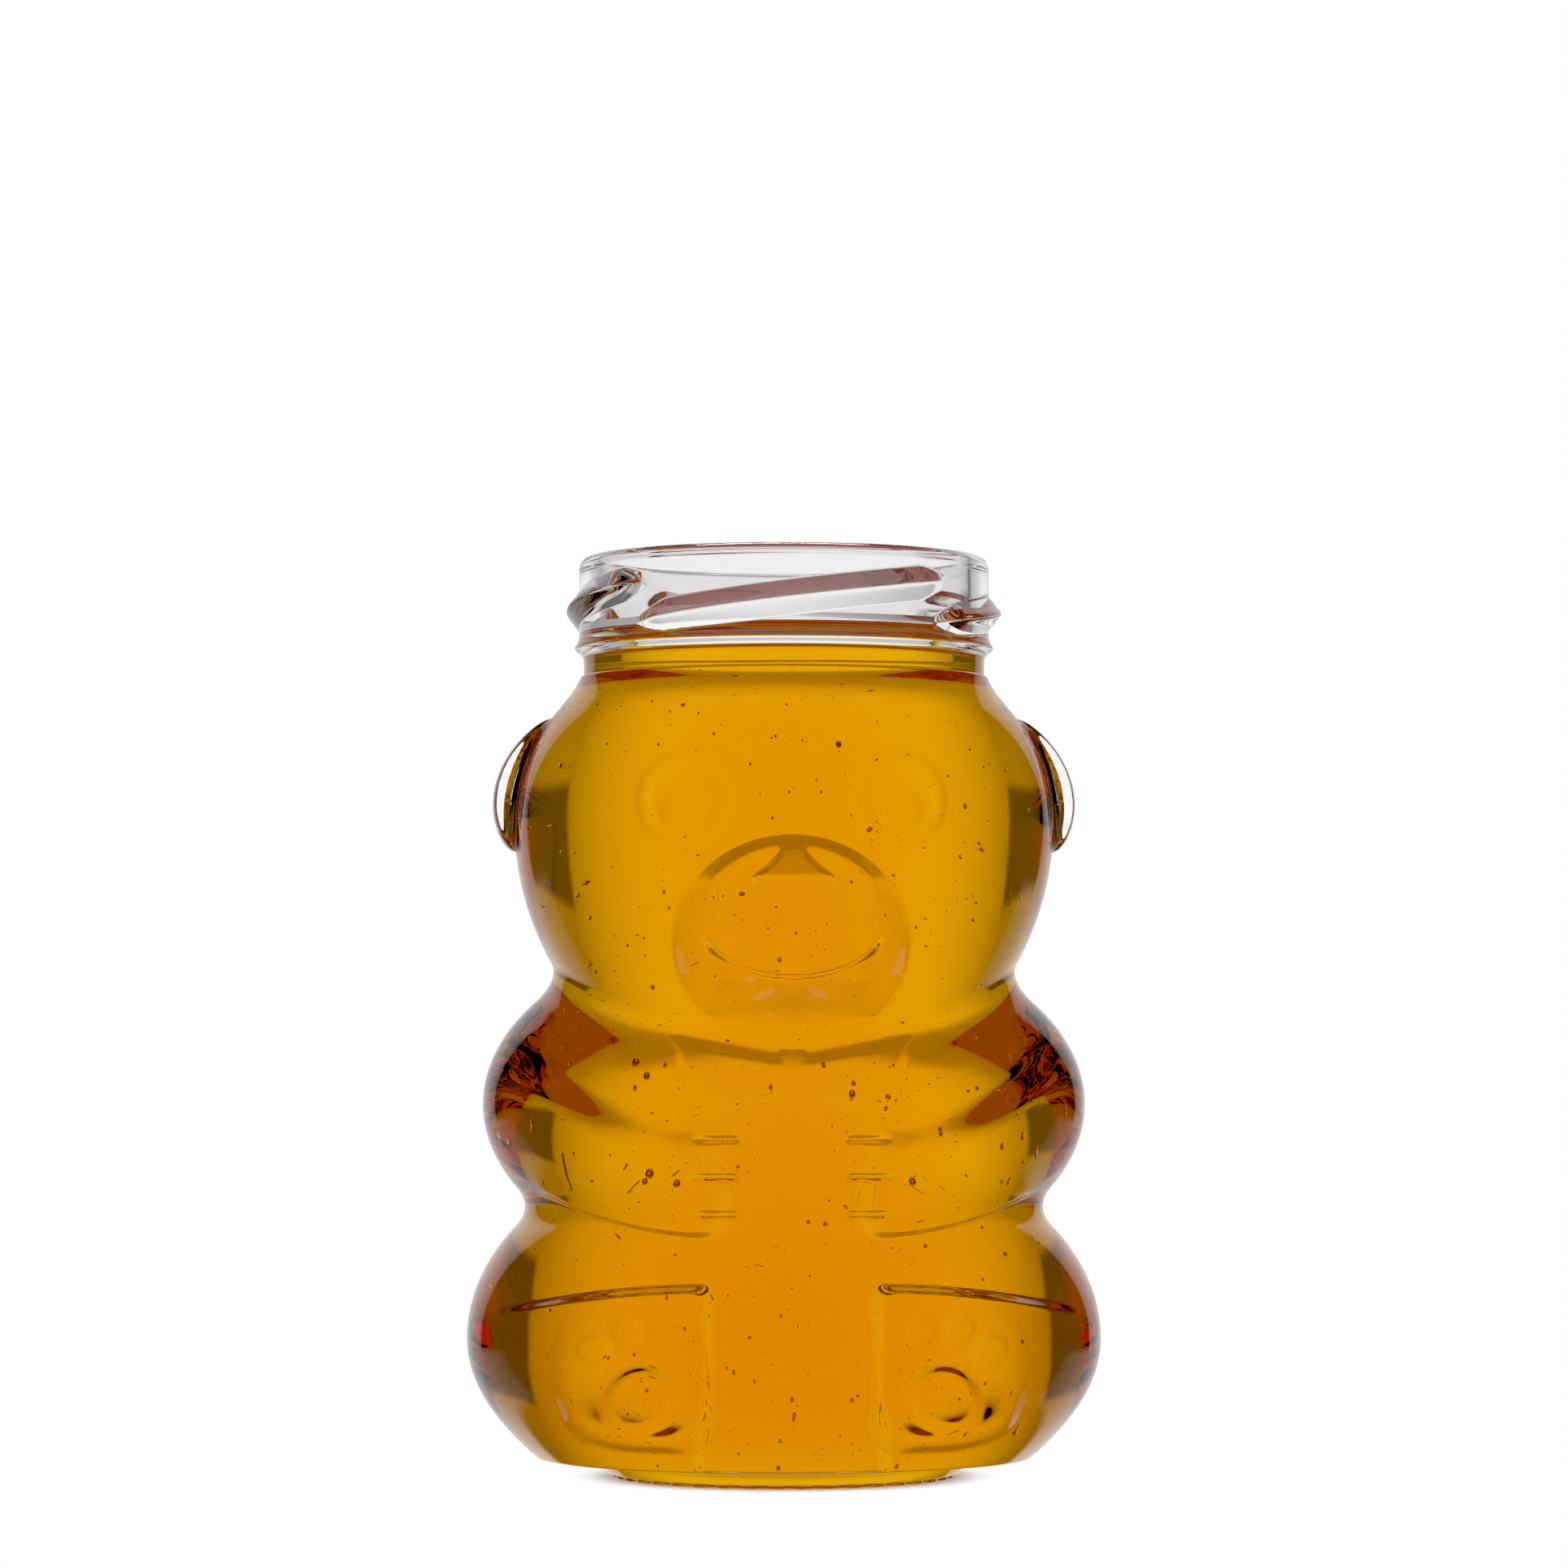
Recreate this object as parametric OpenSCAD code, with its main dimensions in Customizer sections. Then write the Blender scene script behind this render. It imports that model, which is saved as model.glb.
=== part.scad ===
// Glass honey jar shaped as a sitting bear with a bow tie, open at the top and filled with honey.
// Millimetres. The jar stands on z = 0 with its axis on the z axis, and the bear faces -y.

/* [Base ring] */
// Height of the base disc that the bear stands on
base_h = 1.9; // [1.2:0.1:4]
// Radius of the base disc where it meets the body
base_r = 22.3; // [18:0.1:25]
// Height of the scalloped bearing ring
bearing_h = 0.45; // [0.2:0.05:1]
// Outer radius of the bearing ring, measured to the middle of its scallops
bearing_r = 20.2; // [16:0.1:22]
// Width of the bearing ring
bearing_w = 3; // [1.5:0.1:6]
// Number of scallops round the bearing ring
scallops = 40; // [20:1:60]
// Depth of the hollow under the base, above the bearing ring
punt = 0.8; // [0.2:0.1:1.2]

/* [Legs] */
// Height of the widest point of the legs above the base disc
leg_rise = 14.8; // [12:0.1:18]
// Half width over the legs
leg_half_w = 38.3; // [33:0.1:42]
// Depth from the axis to the front of the hips
leg_half_d = 35.3; // [31:0.1:38]
// Depth from the axis to the back of the seat
seat_half_d = 36.9; // [32:0.1:39]
// Height over which the legs round in above their widest point
leg_up = 25.2; // [22:0.1:30]
// Height over which the legs round in below their widest point
leg_down = 22; // [20:0.1:27]
// How far each leg stands proud of the belly
leg_proud = 1.9; // [0.5:0.1:3]
// Height of the crease on top of a leg above the widest point
leg_top = 8; // [5:0.1:11]
// Half width of the gap between the legs
leg_gap = 8.6; // [5:0.1:11]

/* [Feet] */
// Distance of the flat soles from the axis of the jar
sole_dist = 36.9; // [35:0.1:38]
// How far a sole leans back at its lower edge, for each millimetre of its height
sole_lean = 0.13; // [0:0.01:0.2]
// Angle that each sole turns outwards
sole_turn = 24; // [14:1:28]
// Outer edge of a sole from the middle of the bear
sole_edge = 25.2; // [22:0.1:28]
// Height of the lower edge of a sole above the base disc
sole_low = 3.6; // [2:0.1:7]
// Height of a sole
sole_h = 15.6; // [10:0.1:18]
// Radius of the round pad on a sole
pad_r = 3.6; // [2:0.1:5]
// Height of the pad above the lower edge of the sole
pad_rise = 5.7; // [4:0.1:9]
// How far the pad stands proud
pad_proud = 0.7; // [0.2:0.1:1.5]
// Radius of a toe
toe_r = 1.7; // [1:0.1:2.2]

/* [Body and arms] */
// Height of the widest point of the arms above the widest point of the legs
arm_rise = 28.1; // [25:0.1:31]
// Half width over the arms
arm_half_w = 36.4; // [32:0.1:40]
// Half depth of the chest, front to back
arm_half_d = 31.2; // [28:0.1:35]
// Height over which the arms round in, above and below
arm_round = 21.8; // [19:0.1:26]
// Height over which the chest rounds in under the chin
chest_round = 14.5; // [12:0.1:20]
// How far each arm stands proud of the belly
arm_proud = 1.9; // [0.5:0.1:3]
// Half width of the gap between the paws
paw_gap = 6.8; // [4:0.1:10]
// Height of a paw
paw_h = 13.4; // [10:0.1:17]
// Drop from the widest point of the arms to the lower edge of a paw
paw_drop = 15.4; // [13:0.1:17]
// Half width of the belly
belly_half_w = 24; // [18:0.1:28]
// Half depth of the belly
belly_half_d = 33; // [29:0.1:36]
// Height of the middle of the belly above the widest point of the legs
belly_rise = 14; // [10:0.5:18]
// Height over which the arms' swelling rounds in along the middle of the back
back_round = 40; // [32:0.5:50]
// Height over which the hips round in up the middle of the back
hip_round = 45; // [36:0.5:52]

/* [Head] */
// Height of the widest point of the head above the widest point of the arms
head_rise = 34.2; // [31:0.1:38]
// Half width of the head
head_half_w = 32.7; // [29:0.1:36]
// Half depth of the head, front to back
head_half_d = 31; // [28:0.1:35]
// Height over which the cheeks round in below
cheek_round = 34; // [28:0.5:42]
// Height over which the front of the head rounds in below
chin_round = 57; // [45:1:80]
// Height over which the crown rounds in
crown_round = 24.6; // [22:0.1:28]
// Half width of the muzzle
muzzle_half_w = 13.9; // [10:0.1:17]
// Half height of the muzzle
muzzle_half_h = 12.4; // [9:0.1:15]
// How far the muzzle stands proud of the face
muzzle_proud = 6; // [3:0.1:8]
// Drop from the widest point of the head to the middle of the muzzle
muzzle_drop = 15; // [12:0.1:18]
// Half width of the nose
nose_half_w = 3.9; // [2.5:0.1:6]
// How far the nose stands proud of the muzzle
nose_proud = 1.8; // [0.4:0.1:2.2]
// Half distance between the eyes
eye_x = 12.5; // [10:0.1:16]
// Radius of the ring round an eye
eye_r = 4.8; // [3:0.1:6]
// How far the ring round an eye stands proud
eye_proud = 0.5; // [0.1:0.1:1]
// Half height of an ear
ear_half_h = 8; // [5:0.1:10]
// Half thickness of an ear, front to back
ear_half_t = 5.4; // [3:0.1:8]
// How far an ear stands proud of the side of the head
ear_proud = 2.8; // [1.5:0.1:5]
// Height of the middle of an ear above the widest point of the head
ear_rise = 4.2; // [0:0.1:6]

/* [Bow tie] */
// Half width of the bow tie
bow_half_w = 13.4; // [9:0.1:17]
// Half height of the bow tie at its ends
bow_half_h = 4.2; // [3:0.1:5.5]
// Height of the bow tie above the widest point of the arms
bow_rise = 3.4; // [1:0.1:6]
// How far the bow tie stands proud of the chest
bow_proud = 1; // [0.4:0.1:2]

/* [Mouth] */
// Height of the crown of the head, from the widest point of the head to the neck
crown_rise = 17.4; // [15:0.1:21]
// Height of the mouth above the body
finish_h = 14.5; // [12:0.1:18]
// Radius of the neck under the bead
neck_r = 24.3; // [23.8:0.05:25]
// Radius of the bead under the lugs
bead_r = 25.4; // [24.9:0.05:26.5]
// Height of the bead above the body
bead_rise = 3.5; // [2:0.1:5]
// Half height of the bead
bead_half_h = 1; // [0.6:0.1:1.3]
// Radius of the wall above the bead
wall_r = 24.85; // [24.4:0.05:25.6]
// Radius of the bore just under the rim
bore_r = 22.4; // [20:0.05:22.8]
// Length of the true bore, from the rim down
bore_l = 8; // [4:0.1:9]
// How much the throat widens from the bore down to the body
throat_flare = 0.4; // [0:0.05:0.6]
// Rounding of the outer edge of the rim
rim_round = 1.2; // [0.3:0.1:1.6]

/* [Lugs] */
// Number of lugs that the lid twists onto
lug_n = 4; // [2:1:6]
// Radius over the lugs
lug_r = 26.4; // [25.6:0.05:28]
// Length of each lug as a share of the space between one lug and the next
lug_share = 1.07; // [0.5:0.01:1.1]
// Rise of a lug from its low end to its high end
lug_rise = 5.2; // [2:0.1:7]
// Width of a lug along the axis of the jar
lug_w = 3.8; // [2:0.1:5]
// Height of the middle of the lugs above the body
lug_mid = 8; // [6:0.1:10]
// Angle of the middle of the first lug from the front
lug_turn = 1; // [-45:1:45]

/* [Glass and honey] */
// Thickness of the wall of the body
wall = 2.8; // [2:0.1:4]
// Thickness of the floor above the base disc
floor_t = 3.2; // [2:0.1:6]
// Height over which the inside rounds into the floor
heel = 10; // [6:0.1:14]
// How far the inside of the muzzle is pushed out
muzzle_in = 4.6; // [2:0.1:5.5]
// Height of the honey above the body, below the bore
honey_rise = 5.4; // [2:0.1:5.6]
// Gap between the honey and the glass
honey_gap = 0.1; // [0.05:0.01:0.3]

/* [Hidden] */
$fn = 96;

// Heights of the main levels
leg_z = base_h + leg_rise;
arm_z = leg_z + arm_rise;
head_z = arm_z + head_rise;
neck_z = head_z + crown_rise;
top_z = neck_z + finish_h;
floor_z = base_h + floor_t;
heel_z = floor_z + heel;
bore_z = top_z - bore_l;
throat_r = bore_r + throat_flare;
muzzle_z = head_z - muzzle_drop;
sole_z = base_h + sole_low;
sole_top_z = sole_z + sole_h;
pad_z = sole_z + pad_rise;
bow_z = arm_z + bow_rise;

// Blends, in millimetres of radius, where two swellings meet
crease_blend = 5.5;
neck_blend = 3;
inside_blend = 9;
edge_soft = 1.8;

// The body is round and tapers into the neck a little outside the mouth that stands on it
neck_skin_r = neck_r + 0.15;
// The cavity ends a hair inside the throat, so the mouth's lower face is all on glass
cavity_top_r = throat_r - 0.02;

// The belly swells from under the base to the chest
belly_z = leg_z + belly_rise;
belly_down = 34;
belly_up = 42;

// The underside rises a little from the base disc out to the legs
under_rise = 0.6;

// Depth inside an outline over which the long slope on top of an arm is stretched
arm_slope = 0.36;

// Numbers of points round the skin and of rings up its outside and inside
around = 76;
outer_rings = 54;
side_rings = 14;
heel_rings = 5;
// The points crowd towards the bear's front by this share
front_crowding = 0.5;

function smooth_max(a, b, k) = let(h = max(k - abs(a - b), 0) / k) max(a, b) + h * h * k / 4;
function smooth_min(a, b, k) = -smooth_max(-a, -b, k);
function smooth_step(x) = let(t = min(max(x, 0), 1)) t * t * (3 - 2 * t);
function mix(a, b, t) = a + (b - a) * t;

// Radius of an ellipse of half width w and half depth d in the direction a, where 0 is the front
function oval(a, w, d) = 1 / sqrt(pow(sin(a) / w, 2) + pow(cos(a) / d, 2));
// A swelling's share of its full radius at height z
function swell(z, mid, up, down) = let(t = (z - mid) / (z > mid ? up : down)) sqrt(max(0, 1 - t * t));
// 1 down the middle of the front and of the back, and 0 at the sides
function middle(a) = pow(cos(a), 2);
// A rounding that goes from its length at the sides to others at the front and the back
function rounding(a, side, front, back) = mix(side, cos(a) > 0 ? front : back, middle(a));

// The plain swellings: head, arms, legs and belly, which flow together down the back
function head_r(a, z) =
    oval(a, head_half_w, head_half_d)
    * swell(z, head_z, crown_round, rounding(a, cheek_round, chin_round, chin_round));
function arms_r(a, z) =
    let(up = rounding(a, arm_round, chest_round, back_round), down = rounding(a, arm_round, arm_round, back_round))
    oval(a, arm_half_w, arm_half_d) * swell(z, arm_z, up, down);
function legs_r(a, z) =
    oval(a, leg_half_w, cos(a) > 0 ? leg_half_d : seat_half_d)
    * swell(z, leg_z, rounding(a, leg_up, leg_up, hip_round), leg_down);
function belly_r(a, z) =
    cos(a) > 0 ? oval(a, belly_half_w, belly_half_d) * swell(z, belly_z, belly_up, belly_down) : 0;
function body_r(a, z, k) =
    smooth_max(smooth_max(smooth_max(head_r(a, z), arms_r(a, z), k), legs_r(a, z), k), belly_r(a, z), k);

// Dome over an ellipse centred on (0, 0), with a fuller edge for a lower power
function dome(x, z, w, h, power) = pow(max(0, 1 - pow(x / w, 2) - pow(z / h, 2)), power);

// The nose is a triangle with round corners, point up, and is widest low down
function nose(x, z) =
    let(low = muzzle_z + 4.6, top = muzzle_z + 12, t = (z - low) / (top - low))
    let(half = mix(nose_half_w, 1.5, smooth_step(t)))
    smooth_step((half - x) / edge_soft + 0.5) * smooth_step((z - low) / edge_soft + 0.5)
    * smooth_step((top - z) / 3);

// Each eye is a faint ring with a round pupil a little below its middle
function eye(x, z) =
    let(ring = norm([x - eye_x, z - head_z - 1.5]), pupil = norm([x - eye_x, z - head_z - 0.1]))
    smooth_step(1 - abs(ring - eye_r) / edge_soft) + smooth_step((eye_r / 2 - pupil) / edge_soft + 0.5);

// The bow tie widens from its knot to its ends, which lean outwards at the top
function bow(x, z) =
    let(up = (z - bow_z) / bow_half_h, half = mix(2.2, bow_half_h, min(max((x - 2.2) / 10.5, 0), 1)))
    let(wing = min(half - abs(z - bow_z), bow_half_w - 1 + up - x))
    let(knot = 1.2 * dome(x, z - bow_z, 2.4, 3.9, 0.5))
    max(smooth_step(wing / edge_soft + 0.5), knot);

// Depth inside the outline of an arm, which rises to the shoulder and ends in a round paw
function arm_depth(x, z) =
    let(out = max(0, x - paw_gap - 2))
    let(low = arm_z - paw_drop + 0.011 * out * out, high = low + paw_h + 0.006 * out * out)
    smooth_min(smooth_min(arm_slope * (high + 0.6 - z), z - low, 3), x - paw_gap, 4);
function arm(x, z) = smooth_step(arm_depth(x, z) / 2.2) * smooth_step((arm_half_w - 3 - x) / 14);

// Three short creases part the fingers of a paw
function fingers(x, z) =
    let(reach = smooth_step((paw_gap + 4.6 - x) / 2) * smooth_step((x - paw_gap + 1) / 1.5))
    reach * max([for (row = [-1, 0, 1]) smooth_step(1 - abs(z - arm_z + 8 - row * 4.3) / 0.9)]);

// Depth inside the outline of a leg, whose crease falls towards the side
function leg_depth(x, z) =
    let(out = max(0, x - leg_gap), gap = leg_gap + (leg_z + leg_top - z) * 0.055)
    smooth_min(leg_z + leg_top - 0.0055 * out * out - z, x - gap, 2.5);
function leg(x, z) = smooth_step(leg_depth(x, z) / 2) * smooth_step((leg_half_w - 3 - x) / 14);

// Share of the flat sole at a point, from none outside its outline to all of it inside
function sole(x, z) =
    let(edge = sole_edge - 0.035 * pow(max(0, sole_z + 9 - z), 2), inner = leg_gap + 0.9)
    let(across = smooth_min((edge - x) / 2, x - inner, 2))
    let(upright = smooth_min(z - sole_z, (sole_top_z - z) / 2, 3))
    smooth_step(smooth_min(across, upright, 3) / 2.2 + 0.3);
function sole_r(a, z) =
    (sole_dist - sole_lean * (sole_top_z - z)) / cos(abs(a > 180 ? a - 360 : a) - sole_turn);

// The round pad and the three toes on a sole
function paw_print(x, z) =
    let(mid = (leg_gap + sole_edge) / 2)
    let(pad = pad_r - norm([x - mid, z - pad_z]))
    let(toes = [[-2.6, 7.9], [1.5, 7.9], [5.2, 5.6]])
    let(toe = max([for (t = toes) toe_r - norm([x - mid - t.x, z - pad_z - t.y])]))
    max(smooth_step(pad / edge_soft + 0.5), 0.7 * smooth_step(toe / edge_soft + 0.5));

// The smile is a groove across the muzzle that turns up at its ends
function smile(x, z) =
    let(curve = muzzle_z - 4.6 + 0.042 * x * x)
    smooth_step(1 - abs(z - curve) / 0.9) * smooth_step((9.4 - x) / 1.2);

// Ears stand on the sides, where y is near 0
function ear(y, z) = dome(y, z - head_z - ear_rise, ear_half_t, ear_half_h, 0.6);

// What the bear's front adds to the plain swellings, at x from the middle and height z
function front_relief(x, z) =
    muzzle_proud * dome(x, z - muzzle_z, muzzle_half_w, muzzle_half_h, 0.9)
    + nose_proud * nose(x, z)
    + eye_proud * eye(x, z)
    - 0.6 * smile(x, z)
    + bow_proud * bow(x, z)
    + arm_proud * arm(x, z)
    - 0.5 * fingers(x, z)
    + leg_proud * leg(x, z);

// Radius of the outside of the bear in the direction a at height z
function outer_r(a, z) =
    let(plain = body_r(a, z, crease_blend), x = abs(plain * sin(a)), y = plain * cos(a))
    let(shaped = plain + (y > 0 ? front_relief(x, z) : 0) + ear_proud * ear(y, z))
    let(footed = y > 0 ? mix(shaped, sole_r(a, z), sole(x, z)) + pad_proud * paw_print(x, z) : shaped)
    smooth_max(footed, neck_skin_r, neck_blend);

// Radius of the cavity, which follows the swellings more softly, less a gap for what fills it
function inner_r(a, z, gap) =
    let(plain = body_r(a, z, inside_blend) - wall, x = abs(plain * sin(a)))
    let(push = cos(a) > 0 ? muzzle_in * dome(x, z - muzzle_z, muzzle_half_w - 1, muzzle_half_h - 1, 1) : 0)
    smooth_max(plain + push, cavity_top_r, neck_blend) - gap;

// Direction of the point j of a ring: the points crowd towards the front
function turn(j) = let(u = 360 * j / around) u - front_crowding * sin(u) * 180 / PI;
function spot(r, a, z) = [r * sin(a), -r * cos(a), z];
function outer_ring(z) = [for (j = [0:around - 1]) let(a = turn(j)) spot(outer_r(a, z), a, z)];
function inner_ring(z, gap) = [for (j = [0:around - 1]) let(a = turn(j)) spot(inner_r(a, z, gap), a, z)];
function round_ring(r, z) = [for (j = [0:around - 1]) spot(r, turn(j), z)];

// Rings of the cavity from the floor up, ending in a true circle at the neck
function heel_ring(i, gap) =
    let(phi = 90 * (heel_rings - i) / (heel_rings + 1), power = 0.58)
    let(share = pow(cos(phi), power), z = heel_z - (heel_z - floor_z - gap) * pow(sin(phi), power))
    [for (p = inner_ring(heel_z, gap)) [p.x * share, p.y * share, z]];
function cavity(gap) = concat(
    [for (i = [0:heel_rings - 1]) heel_ring(i, gap)],
    [for (i = [0:side_rings - 1]) inner_ring(mix(heel_z, neck_z, i / side_rings), gap)],
    [round_ring(cavity_top_r - gap, neck_z)]);

// Rings of the outside of the bear, from just outside the base disc up
function outside() = concat(
    [round_ring(base_r + 0.1, base_h)],
    [for (i = [0:outer_rings]) outer_ring(mix(base_h + under_rise, neck_z, i / outer_rings))]);
function reversed(rows) = [for (i = [len(rows) - 1:-1:0]) rows[i]];

// Closed skin over a stack of rings with a point at each end
module skin(rings, first, last) {
    n = len(rings) * around;
    points = concat([for (ring = rings, p = ring) p], [first, last]);
    sides = [
        for (i = [0:len(rings) - 2], j = [0:around - 1])
        let(a = i * around + j, b = a + around, d = i * around + (j + 1) % around, c = d + around)
        each (j < around / 2 ? [[a, b, c], [a, c, d]] : [[a, b, d], [b, c, d]])
    ];
    caps = [
        for (j = [0:around - 1])
        let(k = (j + 1) % around, top = n - around)
        each [[n, j, k], [n + 1, top + k, top + j]]
    ];
    polyhedron(points, concat(sides, caps), convexity = 10);
}

// Body of the bear, hollow up to the neck
module bear() {
    skin(concat(outside(), reversed(cavity(0))), [0, 0, base_h], [0, 0, floor_z]);
}

// Base disc with its hollow, and the scalloped ring that it stands on
module base() {
    rotate_extrude()
        polygon([
            [0, bearing_h + punt], [bearing_r - bearing_w, bearing_h], [bearing_r + 0.9, bearing_h],
            [base_r, base_h], [base_r, base_h + 0.5], [0, base_h + 0.5]
        ]);
    linear_extrude(bearing_h) {
        difference() {
            circle(bearing_r);
            circle(bearing_r - bearing_w);
        }
        for (i = [1:scallops])
            rotate(360 * i / scallops)
                translate([bearing_r - 0.5, 0])
                    circle(1, $fn = 24);
    }
}

// Points of a quarter round corner at (x, y) from angle a0 to a1
function corner(x, y, r, a0, a1) = [for (t = [0:0.25:1]) let(a = mix(a0, a1, t)) [x + r * cos(a), y + r * sin(a)]];

// Mouth of the jar: neck, bead, wall and rounded rim round a true bore
module mouth() {
    inner_round = (wall_r - bore_r - rim_round) * 0.7;
    bead_z = neck_z + bead_rise;
    bead = [for (t = [-1:0.5:1]) [wall_r + (bead_r - wall_r) * cos(90 * t), bead_z + bead_half_h * t]];
    rotate_extrude()
        polygon(concat(
            [[bore_r, bore_z], [throat_r, neck_z], [neck_r, neck_z], [neck_r, bead_z - bead_half_h - 0.4]],
            bead,
            corner(wall_r - rim_round, top_z - rim_round, rim_round, 0, 90),
            corner(bore_r + inner_round, top_z - inner_round, inner_round, 90, 180)));
}

// Section of a lug, a ridge with two sloping faces that sinks into the wall
function lug_section(share) =
    let(root = wall_r - 0.8, crest = mix(root + 0.3, lug_r, share), half = 0.7 * lug_w * mix(0.4, 1, share))
    [[root, -half], [crest, -half * 0.15], [crest, half * 0.15], [root, half]];

// One lug climbs round the wall to the right and fades into it at both ends
module lug() {
    steps = 16;
    span = 360 / lug_n * lug_share;
    m = 4;
    points = [
        for (i = [0:steps])
        let(t = i / steps, share = smooth_step(min(t, 1 - t) * 7), a = (t - 0.5) * span)
        for (q = lug_section(share)) spot(q.x, a, neck_z + lug_mid + (t - 0.5) * lug_rise + q.y)
    ];
    sides = [
        for (i = [0:steps - 1], j = [0:m - 1])
        let(k = (j + 1) % m)
        each [[i * m + j, i * m + k, (i + 1) * m + k], [i * m + j, (i + 1) * m + k, (i + 1) * m + j]]
    ];
    ends = [[for (j = [m - 1:-1:0]) j], [for (j = [0:m - 1]) steps * m + j]];
    polyhedron(points, concat(sides, ends), convexity = 4);
}

// The glass jar is one moulding
module glass_jar() {
    color([0.86, 0.88, 0.84, 0.5]) {
        bear();
        base();
        mouth();
        for (i = [1:lug_n])
            rotate(360 * i / lug_n + lug_turn)
                lug();
    }
}

// Honey fills the cavity and stands a little way up the throat
module honey() {
    foot_r = throat_r - 2 * honey_gap;
    level_r = foot_r - throat_flare * honey_rise / (bore_z - neck_z);
    color([0.9, 0.58, 0.05]) {
        skin(cavity(honey_gap), [0, 0, floor_z + honey_gap], [0, 0, neck_z]);
        translate([0, 0, neck_z])
            cylinder(h = honey_rise, r1 = foot_r, r2 = level_r);
    }
}

glass_jar();
honey();
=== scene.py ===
"""A glass honey jar shaped as a sitting bear, filled with honey.

Sizes are millimetres in the jar's own frame, z up and the bear facing -y, until a mesh is made.
"""
import math

import bpy
import numpy as np
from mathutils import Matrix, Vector

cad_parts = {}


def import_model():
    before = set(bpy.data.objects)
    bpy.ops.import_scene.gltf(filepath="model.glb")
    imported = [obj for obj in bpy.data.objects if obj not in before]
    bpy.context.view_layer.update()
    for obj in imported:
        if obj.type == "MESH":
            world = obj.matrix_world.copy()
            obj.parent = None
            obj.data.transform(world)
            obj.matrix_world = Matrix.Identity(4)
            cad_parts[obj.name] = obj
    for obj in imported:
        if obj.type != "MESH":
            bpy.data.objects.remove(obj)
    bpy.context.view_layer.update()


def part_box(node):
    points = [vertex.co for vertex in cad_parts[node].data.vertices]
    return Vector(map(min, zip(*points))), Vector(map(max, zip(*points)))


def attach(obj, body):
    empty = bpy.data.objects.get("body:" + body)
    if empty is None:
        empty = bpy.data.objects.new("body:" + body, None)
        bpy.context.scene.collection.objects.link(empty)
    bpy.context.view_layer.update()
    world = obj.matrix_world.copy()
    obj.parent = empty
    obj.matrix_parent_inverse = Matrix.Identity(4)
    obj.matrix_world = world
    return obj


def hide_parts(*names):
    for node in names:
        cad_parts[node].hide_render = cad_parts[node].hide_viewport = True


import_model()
MM = 0.001

# Levels of the jar, from the frame and from the same steps between them as in the part
TOP_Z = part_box("glass_jar")[1].z / MM
HONEY_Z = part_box("honey")[1].z / MM
NECK_Z = TOP_Z - 14.5
# The honey stands lower than the film that it leaves on the wall
LEVEL_Z = NECK_Z + 2.6
FILM_FALL = 0.25
HEAD_Z = NECK_Z - 17.4
ARM_Z = HEAD_Z - 34.2
LEG_Z = ARM_Z - 28.1
BASE_Z = LEG_Z - 14.8
FLOOR_Z = BASE_Z + 3.2
HEEL_Z = FLOOR_Z + 10
MUZZLE_Z = HEAD_Z - 15
SOLE_Z = BASE_Z + 3.6
PAD_Z = SOLE_Z + 5.7
BOW_Z = ARM_Z + 3.4
BELLY_Z = LEG_Z + 14

# Half width and half depth of each swelling
HEAD = (32.7, 31.0)
ARMS = (36.4, 31.2)
LEGS = (38.25, 35.3)
SEAT = (38.25, 36.85)
BELLY = (24.0, 33.0)

# How far each swelling rounds in above and below its widest height
CROWN_UP = 24.6
CHEEK_DOWN = 34.0
CHIN_DOWN = 57.0
ARM_ROUND = 21.8
CHEST_UP = 17.5
CHEST_SIDE_UP = 14.5
BACK_ROUND = 40.0
LEG_UP = 25.2
LEG_DOWN = 22.0
HIP_UP = 45.0
BELLY_UP = 42.0
BELLY_DOWN = 34.0

# How softly swellings meet outside, inside and at the neck
OUTSIDE_BLEND = 5.5
INSIDE_BLEND = 9.0
FRONT_SHARE = 0.45
NECK_BLEND = 3.0

# Mouth, lugs and base
NECK_R = 24.3
BEAD_R = 25.4
BEAD_Z = NECK_Z + 3.5
BEAD_H = 0.75
WALL_R = 24.85
BORE_R = 22.4
BORE_Z = TOP_Z - 8
THROAT_R = 22.8
THROAT_DROP = 1.1
RIM_ROUND = 1.2
LUG_R = 26.4
LUG_COUNT = 4
LUG_SPAN = 96.0
LUG_RISE = 5.2
LUG_W = 3.8
LUG_MID = NECK_Z + 8
LUG_TURN = 1.0
BASE_R = 22.3
UNDER_RISE = 0.6
BEARING_R = 20.2
BEARING_W = 3.0
BEARING_H = 0.45
PUNT = 0.8
SCALLOPS = 40

# Places and outlines of the relief on the front
LEG_GAP = 8.6
LEG_TOP = LEG_Z + 8
SOLE_EDGE = 25.2
SOLE_H = 15.6
SOLE_DIST = 36.9
SOLE_LEAN = 0.13
SOLE_TURN = 24.0
PAD_R = 3.6
TOE_R = 1.6
TOES = ((-2.6, 7.9), (1.5, 7.9), (5.2, 5.6))
PAW_GAP = 6.8
PAW_LOW = ARM_Z - 15.4
PAW_H = 13.4
FINGER_Z = ARM_Z - 8
MUZZLE_W = 13.9
MUZZLE_H = 12.4
NOSE_W = 3.9
EYE_X = 12.5
EYE_R = 4.7
BOW_W = 13.4
BOW_H = 4.2
EAR_Z = HEAD_Z + 4.2
EAR_H = 8.0
EAR_T = 3.4
EAR_EDGE = 0.5

# Heights of the relief
MUZZLE_PROUD = 6.0
MUZZLE_IN = 4.6
NOSE_PROUD = 2.25
EYE_PROUD = 0.35
SMILE_DEEP = 1.5
BOW_PROUD = 0.36
ARM_PROUD = 1.9
FINGER_DEEP = 1.4
LEG_PROUD = 1.7
PAD_PROUD = 0.6
EAR_PROUD = 2.8

# Wall of the glass, and the gap between the meshes of glass and honey
WALL = 2.8
HONEY_GAP = 0.02

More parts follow.
